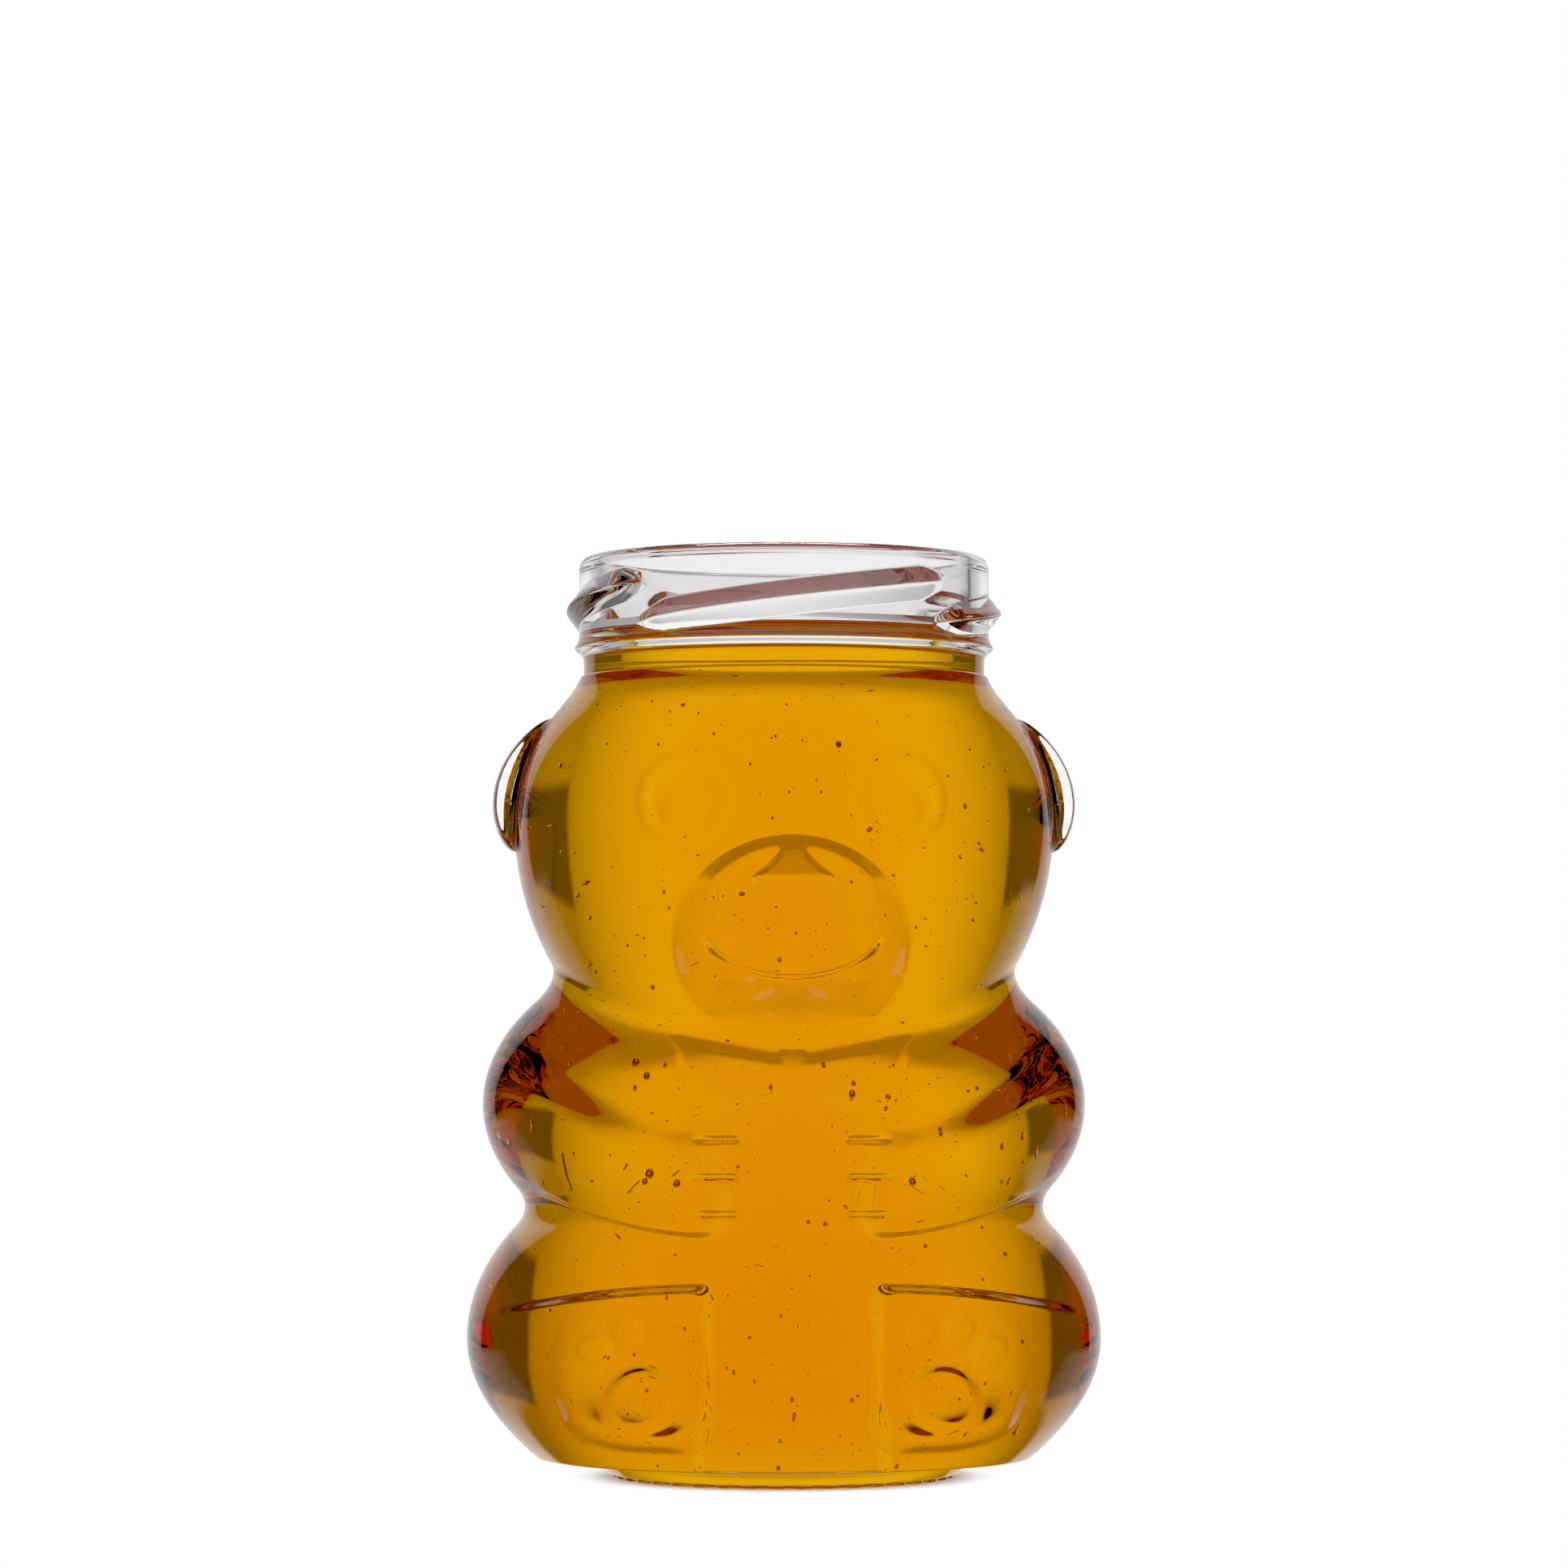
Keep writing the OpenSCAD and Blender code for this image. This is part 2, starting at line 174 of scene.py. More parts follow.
# Points of a ring, and rings of each stretch
AROUND = 600
BODY_RINGS = 500
MOUTH_RINGS = 110
THROAT_RINGS = 14
CAVITY_RINGS = 220
FLOOR_RINGS = 26
FRONT_CROWDING = 0.5
EAR_CROWDING = 7


def smooth_max(a, b, k):
    """The greater of a and b, rounded where they differ by less than k."""
    h = np.maximum(k - np.abs(a - b), 0) / k
    return np.maximum(a, b) + h * h * k / 4


def smooth_min(a, b, k):
    return -smooth_max(-a, -b, k)


def smooth_step(x):
    t = np.clip(x, 0, 1)
    return t * t * (3 - 2 * t)


def mix(a, b, t):
    return a + (b - a) * t


def oval(a, size):
    """Radius in direction a of an ellipse of half width size[0] and half depth size[1]."""
    return 1 / np.sqrt((np.sin(a) / size[0]) ** 2 + (np.cos(a) / size[1]) ** 2)


def swell(z, mid, up, down):
    """1 at the height mid, falling as an ellipse does to 0 over the lengths up and down."""
    t = (z - mid) / np.where(z > mid, up, down)
    return np.sqrt(np.maximum(0, 1 - t * t))


def dome(x, z, w, h, power):
    """A round rise of half width w and half height h, whose edge is steeper for a lower power."""
    return np.maximum(0, 1 - (x / w) ** 2 - (z / h) ** 2) ** power


def body_r(a, z, blend):
    """The plain swellings of head, arms, legs and belly, which flow together down the back."""
    front = np.cos(a) > 0
    middle = np.cos(a) ** 2
    blend = mix(blend, FRONT_SHARE * blend, np.where(front, middle, 0))
    chest = np.where(front, mix(CHEST_SIDE_UP, CHEST_UP, smooth_step((middle - 0.6) / 0.35)), BACK_ROUND)
    waist = np.where(front, ARM_ROUND, BACK_ROUND)
    hips = np.where(front, LEG_UP, HIP_UP)
    hip_oval = np.where(front, oval(a, LEGS), oval(a, SEAT))
    head = oval(a, HEAD) * swell(z, HEAD_Z, CROWN_UP, mix(CHEEK_DOWN, CHIN_DOWN, middle))
    arms = oval(a, ARMS) * swell(z, ARM_Z, mix(ARM_ROUND, chest, middle), mix(ARM_ROUND, waist, middle))
    legs = hip_oval * swell(z, LEG_Z, mix(LEG_UP, hips, middle), LEG_DOWN)
    belly = np.where(front, oval(a, BELLY) * swell(z, BELLY_Z, BELLY_UP, BELLY_DOWN), 0)
    return smooth_max(smooth_max(smooth_max(head, arms, blend), legs, blend), belly, blend)


def muzzle(x, z):
    """A snout whose face leans back to its top, inside a wall that is steepest at the top."""
    side_slope, top_slope, less_below = 12.6, 19.0, 2.6
    up = (z - MUZZLE_Z) / MUZZLE_H
    r = np.hypot(x / MUZZLE_W, up)
    face = MUZZLE_PROUD - 3.2 * up - 1.4 * up * up - 0.9 * (x / MUZZLE_W) ** 2
    rise = up / np.maximum(r, 0.01)
    slope = mix(side_slope, top_slope, smooth_step((rise - 0.4) / 0.4))
    slope = slope - less_below * smooth_step((-rise - 0.3) / 0.6)
    wall = slope * np.maximum(0, 1 - r)
    return np.maximum(0, smooth_min(wall, np.where(r < 1, face, 1), 0.7))


def nose(x, z):
    """A wedge with its point up that rises to a blunt lower edge, with a small round tip below."""
    top, low, tip_z = MUZZLE_Z + 11.2, MUZZLE_Z + 7.4, MUZZLE_Z + 5.8
    t = np.clip((top - z) / (top - low), 0, 1)
    half = mix(1.3, NOSE_W, t * t)
    side = smooth_step((half - x) / 0.9 + 0.5)
    under = smooth_step((z - low + 3.4) / 3.4)
    tip = dome(x, z - tip_z, 1.9, 1.2, 0.5)
    return side * t * under + 0.2 * tip


def eye(x, z):
    """A low ring with a round pupil in its lower half."""
    pupil_r = 2.4
    ring = np.hypot(x - EYE_X, z - HEAD_Z - 1.5)
    pupil = np.hypot(x - EYE_X, z - HEAD_Z - 0.1)
    return smooth_step(1 - np.abs(ring - EYE_R) / 1.3) + smooth_step((pupil_r - pupil) / 1.2 + 0.5)


def bow(x, z):
    """Two wings that widen away from a rounder knot."""
    knot_half = 2.2
    up = (z - BOW_Z) / BOW_H
    half = mix(knot_half, BOW_H, np.clip((x - knot_half) / 10.5, 0, 1))
    wing = np.minimum(half - np.abs(z - BOW_Z), BOW_W - 1 + up - x)
    knot = 1.3 * dome(x, z - BOW_Z, 2.4, 3.9, 0.7)
    return np.maximum(smooth_step(wing / 1.7 + 0.5), knot)


def side_fade(x, half_width):
    """1 over the front, falling to 0 where the side of a swelling begins."""
    return smooth_step((half_width - 3 - x) / 14)


def arm(x, z):
    """A forearm across the front, with a long slope above, whose edges rise away from the paw."""
    top_slope, low_slope = 0.36, 1.5
    out = np.maximum(0, x - PAW_GAP - 2)
    low = PAW_LOW + 0.011 * out * out
    high = low + PAW_H + 0.006 * out * out
    upright = smooth_min(top_slope * (high + 0.6 - z), low_slope * (z - low), 3)
    depth = smooth_min(upright, x - PAW_GAP, 4)
    return smooth_step(depth / 1.8) * side_fade(x, ARMS[0])


def fingers(x, z):
    """Three short creases across each paw."""
    length, spacing, half_width = 4.6, 4.3, 0.6
    reach = smooth_step((PAW_GAP + length - x) / 2) * smooth_step((x - PAW_GAP + 1) / 1.5)
    rows = [smooth_step(1 - np.abs(z - FINGER_Z - row * spacing) / half_width) for row in (-1, 0, 1)]
    return reach * np.maximum.reduce(rows)


def leg(x, z):
    """A thigh that stands out below its crease and beside the gap between the legs."""
    droop, lean = 0.0055, 0.055
    out = np.maximum(0, x - LEG_GAP)
    gap = LEG_GAP + (LEG_TOP - z) * lean
    depth = smooth_min(LEG_TOP - droop * out * out - z, x - gap, 2.0)
    return smooth_step(depth / 1.3) * side_fade(x, LEGS[0])


def sole(x, z):
    """How much of the flat of a sole there is: 1 on it, and 0 past its rounded edges."""
    heel_turn = 0.035
    edge = SOLE_EDGE - heel_turn * np.maximum(0, SOLE_Z + 9 - z) ** 2
    across = smooth_min(0.5 * (edge - x), x - LEG_GAP - 0.9, 2)
    upright = smooth_min(z - SOLE_Z, 0.5 * (SOLE_Z + SOLE_H - z), 3)
    return smooth_step(smooth_min(across, upright, 4) / 2.6 + 0.4)


def paw_print(x, z):
    """A round pad with three lower toes over it."""
    toe_share = 0.6
    mid = (LEG_GAP + SOLE_EDGE) / 2
    pad = PAD_R - np.hypot(x - mid, z - PAD_Z)
    toes = [TOE_R - np.hypot(x - mid - out, z - PAD_Z - up) for out, up in TOES]
    toes = toe_share * smooth_step(np.maximum.reduce(toes) / 1.3 + 0.5)
    return np.maximum(smooth_step(pad / 1.9 + 0.5), toes)


def smile(x, z):
    """A groove that turns up and grows wide and deep towards its ends."""
    half_length = 9.2
    curve = MUZZLE_Z - 4.2 + 0.042 * x ** 2 + 0.00015 * x ** 4
    outer = smooth_step((x - 6) / 3)
    depth = mix(0.6, 1, outer)
    groove = smooth_step(1 - np.abs(z - curve) / mix(0.45, 1.0, outer))
    return depth * groove * smooth_step((half_length - x) / 0.8)


def front_relief(x, z):
    """All that stands out of the plain swellings on the front, apart from the soles."""
    return (
        muzzle(x, z)
        + NOSE_PROUD * nose(x, z)
        + EYE_PROUD * eye(x, z)
        - SMILE_DEEP * smile(x, z)
        + BOW_PROUD * bow(x, z)
        + ARM_PROUD * arm(x, z)
        - FINGER_DEEP * fingers(x, z)
        + LEG_PROUD * leg(x, z)
    )


def ear(y, z):
    """A thick upright disc with flat faces and a fillet round its foot."""
    across = np.abs(y)
    plate = 1 - 0.08 * (across / EAR_T) ** 4 - 0.6 * smooth_step((across - EAR_T) / EAR_EDGE)
    foot = 0.52 * np.maximum(0, (EAR_T + 3.5 - across) / 3.0) ** 2
    outline = np.sqrt(np.maximum(0, 1 - ((z - EAR_Z) / EAR_H) ** 2))
    return np.where(across < EAR_T + EAR_EDGE, plate, foot) * outline


def outer_r(a, z):
    """Radius of the outside of the bear in direction a, 0 at its front, at height z."""
    plain = body_r(a, z, OUTSIDE_BLEND)
    x, y = np.abs(plain * np.sin(a)), plain * np.cos(a)
    front = y > 0
    shaped = plain + np.where(front, front_relief(x, z), 0) + EAR_PROUD * ear(y, z)
    turned = np.abs((a + math.pi) % (2 * math.pi) - math.pi) - math.radians(SOLE_TURN)
    flat = (SOLE_DIST - SOLE_LEAN * (SOLE_Z + SOLE_H - z)) / np.maximum(np.cos(turned), 0.2)
    footed = shaped + (flat - shaped) * sole(x, z) + PAD_PROUD * paw_print(x, z)
    return smooth_max(np.where(front, footed, shaped), NECK_R + 0.15, NECK_BLEND)


def waves(a, z):
    """Slight unevenness of the inside, as blown glass has."""
    return (
        0.09 * np.sin(3 * a + z / 6.5)
        + 0.07 * np.sin(5 * a - z / 4.1 + 1.3)
        + 0.05 * np.sin(8 * a + z / 3.3 + 0.6)
    )


def inner_r(a, z, gap):
    """Radius of the cavity, less a gap, in direction a at height z."""
    plain = body_r(a, z, INSIDE_BLEND) - WALL + waves(a, z) * smooth_step((NECK_Z - z) / 12)
    x = np.abs(plain * np.sin(a))
    bump = MUZZLE_IN * dome(x, z - MUZZLE_Z, MUZZLE_W - 1, MUZZLE_H - 1, 1)
    return smooth_max(plain + np.where(np.cos(a) > 0, bump, 0), THROAT_R - 0.02, NECK_BLEND) - gap


def directions():
    """The directions of a ring's points, closer together at the front and where the ears' faces stand."""
    grid = np.linspace(0, 2 * math.pi, 14401)
    from_ear = np.degrees(np.abs(np.arccos(np.abs(np.sin(grid)))))
    at_edge = np.abs(from_ear - 6.7) < 1.3
    crowd = 1 / (1 - FRONT_CROWDING * np.cos(grid)) + np.where(at_edge, EAR_CROWDING, 0)
    total = np.concatenate([[0], np.cumsum((crowd[1:] + crowd[:-1]) / 2)])
    return np.interp(np.linspace(0, 1, AROUND, endpoint=False), total / total[-1], grid)


ANGLES = directions()


def ring(r, z):
    """Points of a ring, of one radius or of one for each direction, at one height or several."""
    r, z = np.broadcast_to(r, AROUND), np.broadcast_to(z, AROUND)
    return np.stack([r * np.sin(ANGLES), -r * np.cos(ANGLES), z], axis=1)


def lug_bulge(z):
    """How far the lugs stand out of the wall at height z, in each direction."""
    pitch = 360 / LUG_COUNT
    centred = (np.degrees(ANGLES) - LUG_TURN + pitch / 2) % pitch - pitch / 2
    bulge = np.zeros(AROUND)
    for neighbour in (-pitch, 0, pitch):
        t = (centred + neighbour) / LUG_SPAN + 0.5
        share = smooth_step(np.minimum(t, 1 - t) * 8)
        q = (z - LUG_MID - (t - 0.5) * LUG_RISE) / (LUG_W / 2 * mix(0.4, 1, share))
        bulge = np.maximum(bulge, share * np.clip(1.1 - np.sqrt(q * q + 0.01), 0, 1))
    return (LUG_R - WALL_R) * bulge


def base_rings():
    """From the middle of the underside out to the body: the hollow, the scalloped ring and the disc."""
    inside = BEARING_R - BEARING_W
    rings = [ring(r, BEARING_H + PUNT * (1 - (r / inside) ** 2)) for r in np.linspace(1, inside, 10)]
    phase = (ANGLES * SCALLOPS / (2 * math.pi)) % 1 - 0.5
    arc = phase * 2 * math.pi * BEARING_R / SCALLOPS
    scallop = BEARING_R - 0.5 + np.sqrt(np.maximum(0.2, 1 - (arc / 1.2) ** 2))
    rings += [ring(inside + 0.05, 0.12), ring(inside + 0.2, 0)]
    rings += [ring(scallop - 0.25, 0), ring(scallop - 0.06, 0.06)]
    rings += [ring(scallop, 0.2), ring(scallop, BEARING_H)]
    rings += [ring(BEARING_R + 0.9, BEARING_H + 0.02), ring(BEARING_R + 1.2, BEARING_H + 0.15)]
    rings += [ring(BASE_R - 0.1, BASE_Z - 0.2), ring(BASE_R + 0.1, BASE_Z)]
    rim = outer_r(ANGLES, np.full(AROUND, BASE_Z + UNDER_RISE))
    rings += [ring(mix(BASE_R, rim, t), BASE_Z + UNDER_RISE * t) for t in (0.3, 0.7, 0.97)]
    return rings


def body_rings():
    """The outside from the edge of the underside up to the neck."""
    heights = np.linspace(BASE_Z + UNDER_RISE, NECK_Z, BODY_RINGS)
    return [ring(outer_r(ANGLES, np.full(AROUND, z)), z) for z in heights]


def corner(r0, z0, radius, a0, a1, steps=8):
    """A rounded edge about the point r0, z0, from the angle a0 to a1 above level."""
    return [ring(r0 + radius * math.cos(t), z0 + radius * math.sin(t))
            for t in np.radians(np.linspace(a0, a1, steps))]


def mouth_rings():
    """Neck, bead, wall with its lugs, and rounded rim."""
    rings = []
    for z in np.linspace(NECK_Z + 0.1, TOP_Z - RIM_ROUND, MOUTH_RINGS):
        past = smooth_step((z - BEAD_Z) / 0.9)
        bead = (BEAD_R - NECK_R) * math.exp(-((z - BEAD_Z) / BEAD_H) ** 2 * 1.1)
        wall = mix(NECK_R, WALL_R, past)
        mould_line = 0.1 * math.exp(-((z - TOP_Z + 1.5) / 0.12) ** 2)
        outside = np.maximum(wall + bead * (1 - 0.4 * past), wall + lug_bulge(z))
        rings.append(ring(outside + mould_line, z))
    rings += corner(WALL_R - RIM_ROUND, TOP_Z - RIM_ROUND, RIM_ROUND, 6, 90)
    inner_round = (WALL_R - BORE_R - RIM_ROUND) * 0.7
    rings += corner(BORE_R + inner_round, TOP_Z - inner_round, inner_round, 95, 180)
    return rings


def throat_rings(gap, top):
    """The inside of the mouth, from the height top down to just over the neck."""
    heights = np.linspace(top, NECK_Z + 0.2, THROAT_RINGS)
    flare = [mix(BORE_R, THROAT_R, np.clip((BORE_Z - z) / (BORE_Z - NECK_Z), 0, 1)) for z in heights]
    return [ring(r - gap, z) for r, z in zip(flare, heights)]


def cavity_rings(gap):
    """The cavity from the neck down to the floor, into which its side turns with a wide round."""
    heights = np.linspace(NECK_Z, HEEL_Z, CAVITY_RINGS)
    rings = [ring(inner_r(ANGLES, np.full(AROUND, z), gap), z) for z in heights]
    heel = inner_r(ANGLES, np.full(AROUND, HEEL_Z), gap)
    low = FLOOR_Z + gap
    squareness = 0.58
    for phi in np.radians(np.linspace(0, 88, FLOOR_RINGS))[1:]:
        share, drop = math.cos(phi) ** squareness, math.sin(phi) ** squareness
        rings.append(ring(heel * share, mix(HEEL_Z, low, drop)))
    return rings


def skin_data(rings, first, last):
    """Points and faces of a closed skin over rings, with a point at each end, and each face's band."""
    n, m = AROUND, len(rings)
    points = np.concatenate(rings + [np.array([first, last])])
    j = np.arange(n)
    k = (j + 1) % n
    start = np.arange(m - 1)[:, None] * n
    quads = np.stack([start + j, start + k, start + n + k, start + n + j], axis=2).reshape(-1, 4)
    bands = np.repeat(np.arange(1, m), n)
    low_cap = np.stack([np.full(n, m * n), k, j], axis=1)
    high_cap = np.stack([np.full(n, m * n + 1), (m - 1) * n + j, (m - 1) * n + k], axis=1)
    faces = quads.tolist() + low_cap.tolist() + high_cap.tolist()
    return points, faces, np.concatenate([bands, np.zeros(n, int), np.full(n, m)])


def make_piece(name, points, faces, slots, materials):
    """A smooth object in the scene, from points in millimetres and each face's material slot."""
    mesh = bpy.data.meshes.new(name)
    mesh.from_pydata((np.asarray(points) * MM).tolist(), [], faces)
    for material in materials:
        mesh.materials.append(material)
    mesh.polygons.foreach_set("material_index", np.asarray(slots, dtype=np.int32))
    mesh.polygons.foreach_set("use_smooth", np.ones(len(faces), dtype=bool))
    mesh.update()
    piece = bpy.data.objects.new(name, mesh)
    bpy.context.scene.collection.objects.link(piece)
    return piece


# Materials

# Light bends at the glass as against air, hardly from glass to honey, and not again at the honey's side
GLASS_IOR = 1.52
HONEY_IOR = 1.49
GLASS_TO_HONEY_IOR = 1.02
NO_BEND_IOR = 1.0
HONEY_COLOUR = (0.975, 0.865, 0.04)
HONEY_DENSITY = 150
# A grey tint of the mouth's glass: painted shade, which darkens the wall as the light lost through it would
MOUTH_PAINTED_SHADE = (0.93, 0.92, 0.925)


def clear_material(name, ior, tint=(1.0, 1.0, 1.0)):
    """A clear Principled material, with its nodes and its shader."""
    material = bpy.data.materials.new(name)
    material.use_nodes = True
    nodes = material.node_tree.nodes
    shader = next(n for n in nodes if n.type == "BSDF_PRINCIPLED")
    shader.inputs["Base Color"].default_value = (*tint, 1)
    shader.inputs["Transmission Weight"].default_value = 1
    shader.inputs["Roughness"].default_value = 0.0
    shader.inputs["IOR"].default_value = ior
    return material, nodes, material.node_tree.links, shader


def bump_from_noise(nodes, links, shader, scale, distance, strength):
    """Noise in the jar's own coordinates as a fine unevenness of the surface."""
    place = nodes.new("ShaderNodeTexCoord")
    noise = nodes.new("ShaderNodeTexNoise")
    noise.inputs["Scale"].default_value = scale
    noise.inputs["Detail"].default_value = 2
    links.new(place.outputs["Object"], noise.inputs["Vector"])
    bump = nodes.new("ShaderNodeBump")
    bump.inputs["Distance"].default_value = distance
    bump.inputs["Strength"].default_value = strength
    links.new(noise.outputs["Fac"], bump.inputs["Height"])
    links.new(bump.outputs["Normal"], shader.inputs["Normal"])


def glass_material(name, tint=(1.0, 1.0, 1.0)):
    """Glass in air, with a faint unevenness, and a tint, which on the mouth's glass is a painted grey
    shade.
    """
    material, nodes, links, shader = clear_material(name, GLASS_IOR, tint)
    bump_from_noise(nodes, links, shader, 110, 0.0004, 0.05)
    return material


def wet_glass_material():
    """The inside of the wall below the honey, where light passes from glass to honey."""
    material, nodes, links, shader = clear_material("glass_against_honey", GLASS_TO_HONEY_IOR)
    bump_from_noise(nodes, links, shader, 90, 0.0004, 0.1)
    return material


def honey_material(name, ior):
    """Clear honey, which takes its amber from the length of the way through it."""
    material, nodes, links, shader = clear_material(name, ior)
    bump_from_noise(nodes, links, shader, 60, 0.0003, 0.05)
    volume = nodes.new("ShaderNodeVolumeAbsorption")
    volume.inputs["Color"].default_value = (*HONEY_COLOUR, 1)
    volume.inputs["Density"].default_value = HONEY_DENSITY
    output = next(n for n in nodes if n.type == "OUTPUT_MATERIAL")
    links.new(volume.outputs["Volume"], output.inputs["Volume"])
    return material


# Pieces

def glass_jar():
    """One closed skin: up the outside, over the rim and down the inside."""
    base, body, mouth = base_rings(), body_rings(), mouth_rings()
    throat, cavity = throat_rings(0, TOP_Z - THROAT_DROP), cavity_rings(0)
    rings = base + body + mouth + throat + cavity
    points, faces, bands = skin_data(rings, (0, 0, BEARING_H + PUNT), (0, 0, FLOOR_Z))
    outside = len(base) + len(body) + len(mouth)
    ring_z = np.array([r[:, 2].mean() for r in rings] + [FLOOR_Z])
    heights = ring_z[np.minimum(bands, len(rings))]
    wet = (bands > outside) & (heights < HONEY_Z)
    # The glass above the bead gets the tint of painted grey shade
    over_bead = (heights > BEAD_Z + 0.8) & ~wet
    # Slots in this order: plain glass, glass against honey, glass of the mouth with a painted grey shade
    materials = [
        glass_material("clear_glass"),
        wet_glass_material(),
        glass_material("mouth_glass_painted_shade", MOUTH_PAINTED_SHADE),
    ]
    piece = make_piece("bear_glass", points, faces, wet + 2 * over_bead, materials)
    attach(piece, "root")
    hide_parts("glass_jar")
    return piece


def ball(centre, radius, squash, rows, columns):
    """Points and faces of an air bubble, whose faces look inwards, out of the honey."""
    points = [(0, 0, 1)]
    for i in range(1, rows):
        phi = math.pi * i / rows
        points += [(math.sin(phi) * math.cos(t), math.sin(phi) * math.sin(t), math.cos(phi))
                   for t in np.linspace(0, 2 * math.pi, columns, endpoint=False)]
    points.append((0, 0, -1))
    faces = [(0, 1 + (j + 1) % columns, 1 + j) for j in range(columns)]
    for i in range(rows - 2):
        a, b = 1 + i * columns, 1 + (i + 1) * columns
        faces += [(a + j, a + (j + 1) % columns, b + (j + 1) % columns, b + j) for j in range(columns)]
    last = 1 + (rows - 1) * columns
    low = last - columns
    faces += [(last, low + j, low + (j + 1) % columns) for j in range(columns)]
    return np.array(points) * radius * np.array(squash) + np.array(centre), faces


# The larger bubbles near the front: place to the side, height and radius
BUBBLES = (
    (5.3, 86.5, 0.36), (-0.3, 81.2, 0.16), (3.3, 81.2, 0.16), (-17.4, 49.1, 0.48), (-16.2, 47.8, 0.4),
    (6.7, 46.1, 0.4), (6.9, 47.2, 0.28), (-15.4, 37.6, 0.56), (-15.9, 36.7, 0.4), (-12.2, 36.1, 0.48),
    (13.0, 36.4, 0.48), (-13.9, 22.1, 0.16), (-10.1, 22.2, 0.16), (-4.9, 18.3, 0.176),
)
BUBBLE_COUNT = 900
SPECK_R = (0.08, 0.28)


def bubbles():
    """Many specks of air through the honey, and the larger bubbles near the front."""
    dice = np.random.default_rng(7)
    found = []
    for x, z, radius in BUBBLES:
        depth = 1.25 * radius + 0.4
        wall = float(inner_r(np.array(x / 30), np.array(z), 0)) - depth
        found.append(((x, -math.sqrt(wall * wall - x * x), z), radius, (1, 1, 1.2), 8, 12))
    while len(found) < BUBBLE_COUNT:
        a = dice.uniform(0, 2 * math.pi)
        z = dice.uniform(FLOOR_Z + 2, NECK_Z)
        wall = float(inner_r(np.array(a), np.array(z), 0.6)) if z > HEEL_Z else 20.0
        r = wall * dice.uniform(0.2, 1) ** 0.35
        size = mix(*SPECK_R, dice.random() ** 4)
        found.append(((r * math.sin(a), -r * math.cos(a), z), size, (1, 1, dice.uniform(0.9, 1.4)), 5, 6))
    return found


# Distances from the wall at which the top of the honey has a ring
FROM_WALL = (21, 18, 14, 10, 7, 5, 3.5, 2.5, 1.8, 1.3, 0.9, 0.7, 0.5, 0.4, 0.3, 0.22, 0.15, 0.1, 0.06, 0.03)


def honey():
    """The fill with its bubbles, whose level rises into a thin film at the wall."""
    rings = throat_rings(HONEY_GAP, HONEY_Z) + cavity_rings(HONEY_GAP)
    rim = BORE_R - HONEY_GAP
    top = [ring(rim - inwards, LEVEL_Z + (HONEY_Z - LEVEL_Z) * math.exp(-inwards / FILM_FALL))
           for inwards in FROM_WALL]
    upwards = (top + rings)[::-1]
    points, faces, bands = skin_data(upwards, (0, 0, FLOOR_Z + HONEY_GAP), (0, 0, LEVEL_Z))
    slots = (bands >= len(rings)).astype(int)
    all_points, all_faces, all_slots = [points], list(faces), [slots]
    count = len(points)
    for bubble in bubbles():
        ball_points, ball_faces = ball(*bubble)
        all_points.append(ball_points)
        all_faces += [[i + count for i in face] for face in ball_faces]
        all_slots.append(np.ones(len(ball_faces), int))
        count += len(ball_points)
    materials = [
        honey_material("honey_against_glass", NO_BEND_IOR),
        honey_material("honey_open", HONEY_IOR),
    ]
    points, slots = np.concatenate(all_points), np.concatenate(all_slots)
    piece = make_piece("honey_fill", points, all_faces, slots, materials)
    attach(piece, "root")
    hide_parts("honey")
    return piece


# Studio

# Strengths of the light round the jar, by where a ray from the glass goes, where 1 is white
STEEP_DOWN = 0.52
STEEP_UP = 0.6
TOWARDS_CAMERA = 0.42
DARK_SIDE = 0.16
HIGH_SIDE = 0.45
LOW_SIDE = 0.5
MIRRORED = 0.8
DIFFUSE_LIGHT = 0.9


class Maths:
    """Adds nodes that work out a value to a node tree."""

    def __init__(self, tree):
        self.nodes = tree.nodes
        self.links = tree.links

    def feed(self, sockets, values):
        for socket, value in zip(sockets, values):
            if isinstance(value, (int, float)):
                socket.default_value = value
            else:
                self.links.new(value, socket)

    def do(self, operation, *values):
        node = self.nodes.new("ShaderNodeMath")
        node.operation = operation
        self.feed(node.inputs, values)
        return node.outputs[0]

    def product(self, *values):
        result = values[0]
        for value in values[1:]:
            result = self.do("MULTIPLY", result, value)
        return result

    def step(self, value, start, end):
        """0 at start and 1 at end, whichever of them is the greater."""
        node = self.nodes.new("ShaderNodeMapRange")
        node.interpolation_type = "SMOOTHSTEP"
        sockets = [node.inputs[name] for name in ("Value", "From Min", "From Max")]
        self.feed(sockets, (value, start, end))
        return node.outputs["Result"]

    def mix(self, factor, a, b):
        node = self.nodes.new("ShaderNodeMix")
        self.feed(node.inputs[:1] + node.inputs[2:4], (factor, a, b))
        return node.outputs[0]


def light_through(maths, side, y, z):
    """What the glass passes on: a sheet that dims to its edges, with greys and darkness beside it."""
    low = maths.step(z, -0.08, -0.14)
    above = maths.mix(maths.step(z, 0.18, 0.22), DARK_SIDE, HIGH_SIDE)
    beside = maths.mix(low, above, LOW_SIDE)
    sheet = maths.mix(maths.step(side, 0.3, 1.04), 1.0, 0.0)
    level_light = maths.mix(maths.step(side, 0.66, 0.69), sheet, beside)
    steep_light = maths.mix(maths.step(z, -0.1, 0.1), STEEP_DOWN, STEEP_UP)
    steep = maths.do("MAXIMUM", maths.step(z, -0.35, -0.5), maths.step(z, 0.4, 0.52))
    behind = maths.step(y, -0.05, 0.1)
    return maths.mix(behind, TOWARDS_CAMERA, maths.mix(steep, level_light, steep_light))


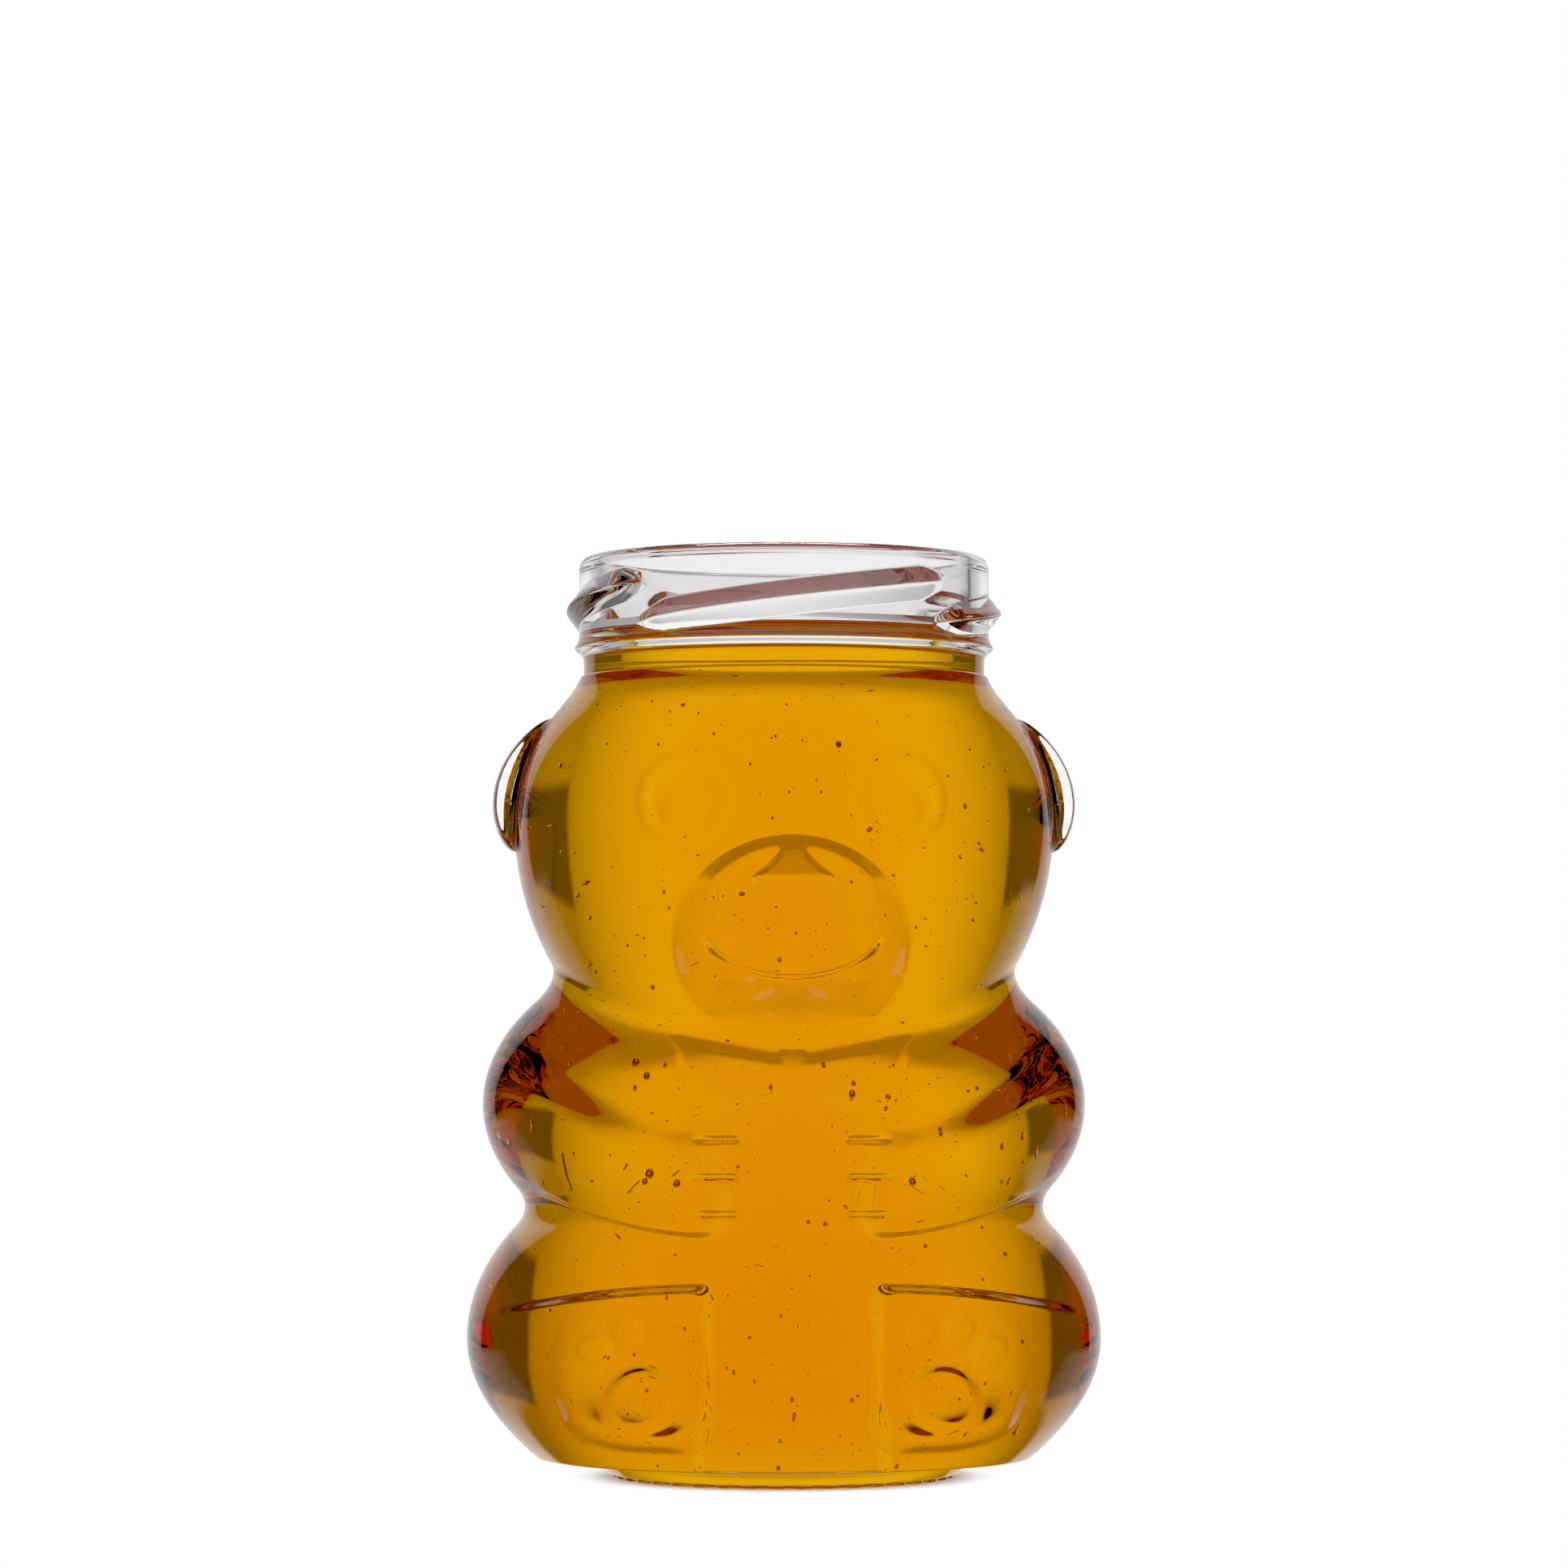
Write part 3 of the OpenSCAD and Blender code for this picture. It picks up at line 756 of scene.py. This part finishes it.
def light_mirrored(maths, side, y, z):
    """What the outside of the glass mirrors: the sheet, wider near the floor, and nothing steep."""
    low = maths.step(z, -0.08, -0.14)
    reach = maths.mix(low, maths.step(side, 0.64, 0.60), maths.step(side, 0.84, 0.80))
    tall = maths.product(maths.step(z, -0.44, -0.38), maths.step(z, 0.56, 0.50))
    sheet = maths.mix(maths.step(side, 0.3, 1.04), MIRRORED, 0.0)
    return maths.product(reach, tall, sheet, maths.step(y, -0.05, 0.1))


def world():
    """White for the camera, and for the glass a bright sheet behind the jar between darker sides."""
    made = bpy.data.worlds.new("studio")
    bpy.context.scene.world = made
    made.use_nodes = True
    nodes, links = made.node_tree.nodes, made.node_tree.links
    nodes.clear()
    maths = Maths(made.node_tree)

    place = nodes.new("ShaderNodeTexCoord")
    split = nodes.new("ShaderNodeSeparateXYZ")
    links.new(place.outputs["Generated"], split.inputs[0])
    x, y, z = split.outputs
    flat = maths.do("SQRT", maths.do("ADD", maths.product(x, x), maths.product(y, y)))
    side = maths.do("DIVIDE", maths.do("ABSOLUTE", x), maths.do("MAXIMUM", flat, 0.001))

    def background(strength):
        node = nodes.new("ShaderNodeBackground")
        node.inputs["Color"].default_value = (1, 1, 1, 1)
        maths.feed([node.inputs["Strength"]], [strength])
        return node.outputs[0]

    def choose(factor, a, b):
        node = nodes.new("ShaderNodeMixShader")
        maths.feed(node.inputs, (factor, a, b))
        return node.outputs[0]

    path = nodes.new("ShaderNodeLightPath")
    mirrored = background(light_mirrored(maths, side, y, z))
    passed = background(light_through(maths, side, y, z))
    shade = choose(path.outputs["Is Glossy Ray"], background(DIFFUSE_LIGHT), mirrored)
    shade = choose(path.outputs["Is Transmission Ray"], shade, passed)
    shade = choose(path.outputs["Is Camera Ray"], shade, background(1.0))
    output = nodes.new("ShaderNodeOutputWorld")
    links.new(shade, output.inputs["Surface"])


def ground():
    """A wide pale disc that fades into the white background a little way from the jar's foot."""
    radius, corners = 700.0, 96
    fade_start, fade_end = 0.018, 0.026
    angles = np.linspace(0, 2 * math.pi, corners, endpoint=False)
    points = [(radius * math.cos(t), radius * math.sin(t), 0) for t in angles]
    mesh = bpy.data.meshes.new("ground")
    mesh.from_pydata((np.array(points) * MM).tolist(), [], [list(range(corners))])
    floor = bpy.data.objects.new("ground", mesh)
    bpy.context.scene.collection.objects.link(floor)
    material = bpy.data.materials.new("pale_floor")
    material.use_nodes = True
    nodes, links = material.node_tree.nodes, material.node_tree.links
    shader = next(n for n in nodes if n.type == "BSDF_PRINCIPLED")
    shader.inputs["Base Color"].default_value = (0.95, 0.95, 0.95, 1)
    shader.inputs["Roughness"].default_value = 0.9
    shader.inputs["Specular IOR Level"].default_value = 0.0
    place = nodes.new("ShaderNodeTexCoord")
    length = nodes.new("ShaderNodeVectorMath")
    length.operation = "LENGTH"
    links.new(place.outputs["Object"], length.inputs[0])
    fade = nodes.new("ShaderNodeMapRange")
    fade.interpolation_type = "SMOOTHSTEP"
    fade.inputs["From Min"].default_value = fade_start
    fade.inputs["From Max"].default_value = fade_end
    links.new(length.outputs["Value"], fade.inputs["Value"])
    path = nodes.new("ShaderNodeLightPath")
    shown = shader.outputs[0]
    for factor, other in ((fade.outputs["Result"], "ShaderNodeEmission"),
                          (path.outputs["Is Glossy Ray"], "ShaderNodeBsdfTransparent"),
                          (path.outputs["Is Transmission Ray"], "ShaderNodeBsdfTransparent")):
        blend = nodes.new("ShaderNodeMixShader")
        links.new(factor, blend.inputs[0])
        links.new(shown, blend.inputs[1])
        links.new(nodes.new(other).outputs[0], blend.inputs[2])
        shown = blend.outputs[0]
    output = next(n for n in nodes if n.type == "OUTPUT_MATERIAL")
    links.new(shown, output.inputs["Surface"])
    mesh.materials.append(material)


def lamp(name, place, size, power):
    """A soft lamp that faces the jar, which shows in the glass only as a glint."""
    light = bpy.data.lights.new(name, "AREA")
    light.shape = "RECTANGLE"
    light.size, light.size_y = size
    light.energy = power
    thing = bpy.data.objects.new(name, light)
    bpy.context.scene.collection.objects.link(thing)
    thing.location = place
    thing.rotation_euler = (Vector((0, 0, 0.06)) - Vector(place)).to_track_quat("-Z", "Y").to_euler()
    thing.visible_transmission = False


def camera():
    """The photograph's view: level with the belly, with a long lens and a slight turn."""
    pixels_across = 1932
    focal_pixels = 6800
    distance = 0.669
    height = 0.0541
    turn = math.radians(-1.85)
    horizon_drop = 299
    data = bpy.data.cameras.new("camera")
    data.sensor_width = 36
    data.lens = focal_pixels / pixels_across * data.sensor_width
    thing = bpy.data.objects.new("camera", data)
    bpy.context.scene.collection.objects.link(thing)
    thing.location = (distance * math.sin(turn), -distance * math.cos(turn), height)
    thing.rotation_euler = (math.pi / 2 + math.atan(horizon_drop / focal_pixels), 0, turn)
    bpy.context.scene.camera = thing


camera()
world()
ground()
lamp("overhead_softbox", (0, 0.25, 0.6), (0.3, 0.1), 2.0)
glass_jar()
honey()

scene = bpy.context.scene
scene.view_settings.view_transform = "Standard"
scene.cycles.max_bounces = 32
scene.cycles.transmission_bounces = 32
scene.cycles.glossy_bounces = 8
